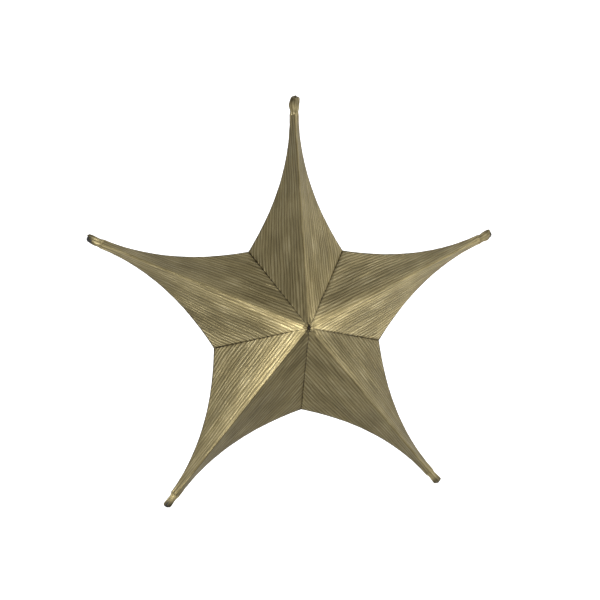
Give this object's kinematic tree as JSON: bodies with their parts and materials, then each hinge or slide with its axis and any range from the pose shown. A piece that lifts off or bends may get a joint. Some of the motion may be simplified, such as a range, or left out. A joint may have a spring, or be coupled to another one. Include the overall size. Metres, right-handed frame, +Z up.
{
  "type": "folding star decoration",
  "caption": "Folding cloth star: a sewn metallic cover stretched over wire ribs that open like an umbrella, with a zip behind",
  "frame": {"origin": "the eye in the top arm's end cap, which the star hangs from", "axes": "+Z up along the top arm, -Y is the front, +Y the back, +X to the right seen from the front"},
  "size_m": [0.5992, 0.183, 0.5869],
  "materials": {
    "lame_cloth": "woven metallic cloth with a soft sheen",
    "steel": "drawn wire",
    "brass": "satin",
    "black_plastic": "moulded",
    "zip_tape": "woven tape"
  },
  "bodies": {
    "frame": {"shaft": "steel", "front_crown": "black_plastic", "hinge_wire": "steel", "front_button": "lame_cloth", "rear_cap": "black_plastic", "runner_stop": "brass"},
    "rib_top": {"rib_top": "steel", "end_cap_top": "black_plastic", "clip_top": "steel", "pin_top": "brass", "front_panel_top": "lame_cloth"},
    "rib_right": {"rib_right": "steel", "end_cap_right": "black_plastic", "clip_right": "steel", "pin_right": "brass", "front_panel_right": "lame_cloth"},
    "rib_lower_right": {"rib_lower_right": "steel", "end_cap_lower_right": "black_plastic", "clip_lower_right": "steel", "pin_lower_right": "brass", "front_panel_lower_right": "lame_cloth"},
    "rib_lower_left": {"rib_lower_left": "steel", "end_cap_lower_left": "black_plastic", "clip_lower_left": "steel", "pin_lower_left": "brass", "front_panel_lower_left": "lame_cloth"},
    "rib_left": {"rib_left": "steel", "end_cap_left": "black_plastic", "clip_left": "steel", "pin_left": "brass", "front_panel_left": "lame_cloth"},
    "stretcher_top": {"stretcher_top": "steel"},
    "stretcher_right": {"stretcher_right": "steel"},
    "stretcher_lower_right": {"stretcher_lower_right": "steel"},
    "stretcher_lower_left": {"stretcher_lower_left": "steel"},
    "stretcher_left": {"stretcher_left": "steel"},
    "runner": {"runner": "black_plastic"},
    "back_outer_top": {"back_panel_outer_top": "lame_cloth"},
    "back_outer_right": {"back_panel_outer_right": "lame_cloth"},
    "back_outer_lower_right": {"back_panel_outer_lower_right": "lame_cloth"},
    "back_outer_lower_left": {"back_panel_outer_lower_left": "lame_cloth", "zip_tape": "zip_tape", "zip_chain": "brass"},
    "back_outer_left": {"back_panel_outer_left": "lame_cloth"},
    "back_inner_top": {"back_panel_inner_top": "lame_cloth"},
    "back_inner_right": {"back_panel_inner_right": "lame_cloth"},
    "back_inner_lower_right": {"back_panel_inner_lower_right": "lame_cloth"},
    "back_inner_lower_left": {"back_panel_inner_lower_left": "lame_cloth"},
    "back_inner_left": {"back_panel_inner_left": "lame_cloth"},
    "catch": {"catch_spring": "steel"},
    "zip_slider": {"zip_slider": "brass"},
    "zip_pull": {"zip_pull": "brass"}
  },
  "joints": [
    {"name": "rib_hinge_top", "type": "hinge", "parent": "frame", "child": "rib_top", "pos_m": [0, -0.08705, -0.31053], "axis": [-1, 0, 0], "range_deg": [0, 70], "deforming": ["front_panel_top", "catch_spring"]},
    {"name": "rib_hinge_right", "type": "hinge", "parent": "frame", "child": "rib_right", "pos_m": [0.00827, -0.08705, -0.31598], "axis": [-0.3939, 0, 0.9191], "range_deg": [0, 70], "deforming": ["front_panel_right"]},
    {"name": "rib_hinge_lower_right", "type": "hinge", "parent": "frame", "child": "rib_lower_right", "pos_m": [0.00593, -0.08705, -0.3263], "axis": [0.7524, 0, 0.6587], "range_deg": [0, 70], "deforming": ["front_panel_lower_right"]},
    {"name": "rib_hinge_lower_left", "type": "hinge", "parent": "frame", "child": "rib_lower_left", "pos_m": [-0.00539, -0.08705, -0.32674], "axis": [0.8007, 0, -0.599], "range_deg": [0, 70], "deforming": ["front_panel_lower_left"]},
    {"name": "rib_hinge_left", "type": "hinge", "parent": "frame", "child": "rib_left", "pos_m": [-0.00827, -0.08705, -0.31598], "axis": [-0.3939, 0, -0.9191], "range_deg": [0, 70], "deforming": ["front_panel_left"]},
    {"name": "stretcher_hinge_top", "type": "hinge", "parent": "rib_top", "child": "stretcher_top", "pos_m": [0, -0.06161, -0.23977], "axis": [1, 0, 0], "range_deg": [0, 140]},
    {"name": "stretcher_hinge_right", "type": "hinge", "parent": "rib_right", "child": "stretcher_right", "pos_m": [0.07331, -0.06161, -0.28811], "axis": [0.3939, 0, -0.9191], "range_deg": [0, 140]},
    {"name": "stretcher_hinge_lower_right", "type": "hinge", "parent": "rib_lower_right", "child": "stretcher_lower_right", "pos_m": [0.05254, -0.06161, -0.37954], "axis": [-0.7524, 0, -0.6587], "range_deg": [0, 140]},
    {"name": "stretcher_hinge_lower_left", "type": "hinge", "parent": "rib_lower_left", "child": "stretcher_lower_left", "pos_m": [-0.04778, -0.06161, -0.38339], "axis": [-0.8007, 0, 0.599], "range_deg": [0, 140]},
    {"name": "stretcher_hinge_left", "type": "hinge", "parent": "rib_left", "child": "stretcher_left", "pos_m": [-0.07331, -0.06161, -0.28811], "axis": [0.3939, 0, 0.9191], "range_deg": [0, 140]},
    {"name": "runner_slide", "type": "slide", "parent": "frame", "child": "runner", "axis": [0, 1, 0], "range_m": [0, 0.0995]},
    {"name": "back_outer_hinge_top", "type": "hinge", "parent": "rib_top", "child": "back_outer_top", "pos_m": [0, 0.00351, -0.01603], "axis": [-1, 0, 0], "range_deg": [0, 33], "deforming": ["back_panel_outer_top"]},
    {"name": "back_outer_hinge_right", "type": "hinge", "parent": "rib_right", "child": "back_outer_right", "pos_m": [0.27896, 0.00351, -0.19997], "axis": [-0.3939, 0, 0.9191], "range_deg": [0, 33], "deforming": ["back_panel_outer_right"]},
    {"name": "back_outer_hinge_lower_right", "type": "hinge", "parent": "rib_lower_right", "child": "back_outer_lower_right", "pos_m": [0.19991, 0.00351, -0.54789], "axis": [0.7524, 0, 0.6587], "range_deg": [0, 33], "deforming": ["back_panel_outer_lower_right"]},
    {"name": "back_outer_hinge_lower_left", "type": "hinge", "parent": "rib_lower_left", "child": "back_outer_lower_left", "pos_m": [-0.1818, 0.00351, -0.56255], "axis": [0.8007, 0, -0.599], "range_deg": [0, 33], "deforming": ["back_panel_outer_lower_left", "zip_tape", "zip_chain"]},
    {"name": "back_outer_hinge_left", "type": "hinge", "parent": "rib_left", "child": "back_outer_left", "pos_m": [-0.27896, 0.00351, -0.19997], "axis": [-0.3939, 0, -0.9191], "range_deg": [0, 33], "deforming": ["back_panel_outer_left"]},
    {"name": "back_inner_hinge_top", "type": "hinge", "parent": "frame", "child": "back_inner_top", "pos_m": [0, 0.08595, -0.30673], "axis": [1, 0, 0], "range_deg": [0, 74], "deforming": ["back_panel_inner_top"]},
    {"name": "back_inner_hinge_right", "type": "hinge", "parent": "frame", "child": "back_inner_right", "pos_m": [0.01176, 0.08595, -0.31449], "axis": [0.3939, 0, -0.9191], "range_deg": [0, 74], "deforming": ["back_panel_inner_right"]},
    {"name": "back_inner_hinge_lower_right", "type": "hinge", "parent": "frame", "child": "back_inner_lower_right", "pos_m": [0.00843, 0.08595, -0.32916], "axis": [-0.7524, 0, -0.6587], "range_deg": [0, 74], "deforming": ["back_panel_inner_lower_right"]},
    {"name": "back_inner_hinge_lower_left", "type": "hinge", "parent": "frame", "child": "back_inner_lower_left", "pos_m": [-0.00767, 0.08595, -0.32978], "axis": [-0.8007, 0, 0.599], "range_deg": [0, 74], "deforming": ["back_panel_inner_lower_left"]},
    {"name": "back_inner_hinge_left", "type": "hinge", "parent": "frame", "child": "back_inner_left", "pos_m": [-0.01176, 0.08595, -0.31449], "axis": [0.3939, 0, 0.9191], "range_deg": [0, 74], "deforming": ["back_panel_inner_left"]},
    {"name": "catch_press", "type": "hinge", "parent": "frame", "child": "catch", "pos_m": [0, 0.00814, -0.32163], "axis": [-1, 0, 0], "range_deg": [0, 4.2], "stiffness_Nm_per_rad": 0.35, "deforming": ["catch_spring"]},
    {"name": "zip_slide", "type": "slide", "parent": "back_outer_lower_left", "child": "zip_slider", "axis": [0.6037, 0.3051, 0.7365], "range_m": [0, 0.0851]},
    {"name": "zip_pull_hinge", "type": "hinge", "parent": "zip_slider", "child": "zip_pull", "pos_m": [-0.10508, 0.02275, -0.49116], "axis": [0.6604, -0.7088, -0.2477], "range_deg": [0, 150]}
  ],
  "couplings": [
    {"joint": "rib_hinge_right", "follows": "rib_hinge_top", "ratio": 1},
    {"joint": "rib_hinge_lower_right", "follows": "rib_hinge_top", "ratio": 1},
    {"joint": "rib_hinge_lower_left", "follows": "rib_hinge_top", "ratio": 1},
    {"joint": "rib_hinge_left", "follows": "rib_hinge_top", "ratio": 1},
    {"joint": "stretcher_hinge_top", "follows": "rib_hinge_top", "ratio": 2},
    {"joint": "stretcher_hinge_right", "follows": "rib_hinge_top", "ratio": 2},
    {"joint": "stretcher_hinge_lower_right", "follows": "rib_hinge_top", "ratio": 2},
    {"joint": "stretcher_hinge_lower_left", "follows": "rib_hinge_top", "ratio": 2},
    {"joint": "stretcher_hinge_left", "follows": "rib_hinge_top", "ratio": 2},
    {"joint": "runner_slide", "follows": "rib_hinge_top", "m_per_rad": 0.081433},
    {"joint": "back_outer_hinge_top", "follows": "rib_hinge_top", "ratio": 0.47143},
    {"joint": "back_outer_hinge_right", "follows": "rib_hinge_top", "ratio": 0.47143},
    {"joint": "back_outer_hinge_lower_right", "follows": "rib_hinge_top", "ratio": 0.47143},
    {"joint": "back_outer_hinge_lower_left", "follows": "rib_hinge_top", "ratio": 0.47143},
    {"joint": "back_outer_hinge_left", "follows": "rib_hinge_top", "ratio": 0.47143},
    {"joint": "back_inner_hinge_top", "follows": "rib_hinge_top", "ratio": 1.0571},
    {"joint": "back_inner_hinge_right", "follows": "rib_hinge_top", "ratio": 1.0571},
    {"joint": "back_inner_hinge_lower_right", "follows": "rib_hinge_top", "ratio": 1.0571},
    {"joint": "back_inner_hinge_lower_left", "follows": "rib_hinge_top", "ratio": 1.0571},
    {"joint": "back_inner_hinge_left", "follows": "rib_hinge_top", "ratio": 1.0571}
  ]
}
